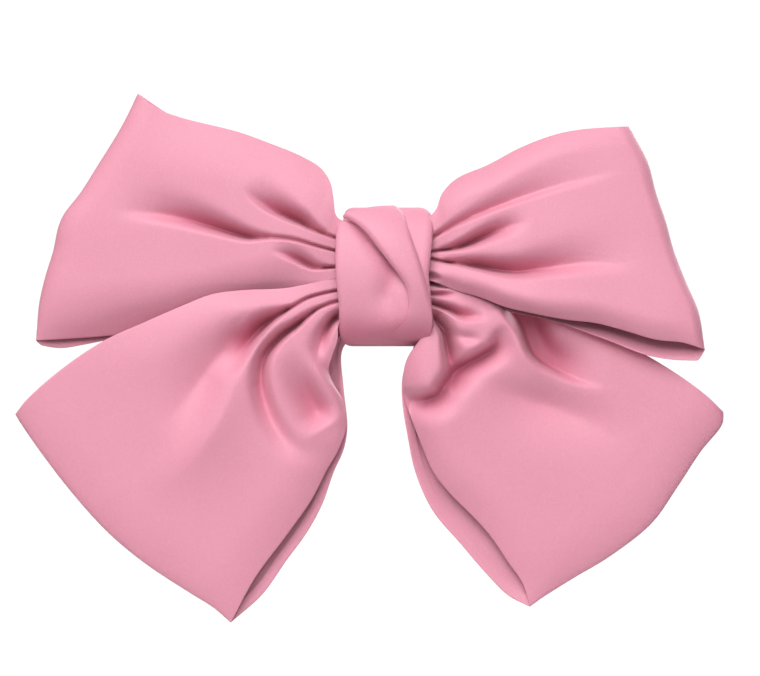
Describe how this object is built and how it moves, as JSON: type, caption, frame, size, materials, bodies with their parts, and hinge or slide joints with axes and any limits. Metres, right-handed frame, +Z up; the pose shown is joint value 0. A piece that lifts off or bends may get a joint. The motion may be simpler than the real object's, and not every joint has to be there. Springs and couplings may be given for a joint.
{
  "type": "bow barrette",
  "caption": "Large gathered satin bow with two loops, two tails and a wrapped knot, on a hinged spring clip with a pinch clasp that grips hair.",
  "frame": {"origin": "middle of the gap between the tension bar and the locking arm, which is where the hair goes", "axes": "+X along the clip from its hinge to its clasp, -Y out of the face of the bow, +Z up as the bow is worn"},
  "size_m": [0.1998, 0.0356, 0.1493],
  "materials": {
    "satin": "matte satin with a fine crepe weave",
    "thread": "twisted polyester thread",
    "felt": "pressed felt",
    "clip_steel": "nickel-plated pressed steel",
    "spring_steel": "tempered spring steel",
    "pin_steel": "bright plated"
  },
  "bodies": {
    "bow_and_plate": {"base_plate": "clip_steel", "hinge_pin": "pin_steel", "clasp_saddle": "clip_steel", "saddle_rivets": "pin_steel", "felt_backing": "felt", "waist_gather": "satin", "binding_thread": "thread", "knot_wrap": "satin", "knot_stitches": "thread", "left_loop": "satin", "right_loop": "satin", "left_tail": "satin", "right_tail": "satin"},
    "arm": {"locking_arm": "clip_steel"},
    "bar": {"tension_bar": "spring_steel"},
    "upper_finger": {"clasp_finger_upper": "spring_steel"},
    "lower_finger": {"clasp_finger_lower": "spring_steel"}
  },
  "joints": [
    {"name": "arm_hinge", "type": "hinge", "parent": "bow_and_plate", "child": "arm", "pos_m": [-0.0374, 0.00285, 0], "axis": [0, 0, 1], "range_deg": [0, 80]},
    {"name": "bar_hinge", "type": "hinge", "parent": "bow_and_plate", "child": "bar", "pos_m": [-0.0374, 0.00285, 0], "axis": [0, 0, 1], "range_deg": [0, 28]},
    {"name": "upper_finger_pinch", "type": "hinge", "parent": "bow_and_plate", "child": "upper_finger", "pos_m": [0.0357, 0.0017, 0.00145], "axis": [-1, 0, 0], "range_deg": [0, 8], "stiffness_Nm_per_rad": 0.02},
    {"name": "lower_finger_pinch", "type": "hinge", "parent": "bow_and_plate", "child": "lower_finger", "pos_m": [0.0357, 0.0017, -0.00145], "axis": [1, 0, 0], "range_deg": [0, 8], "stiffness_Nm_per_rad": 0.02}
  ],
  "couplings": [
    {"joint": "bar_hinge", "follows": "arm_hinge", "ratio": 0.35},
    {"joint": "lower_finger_pinch", "follows": "upper_finger_pinch", "ratio": 1}
  ]
}
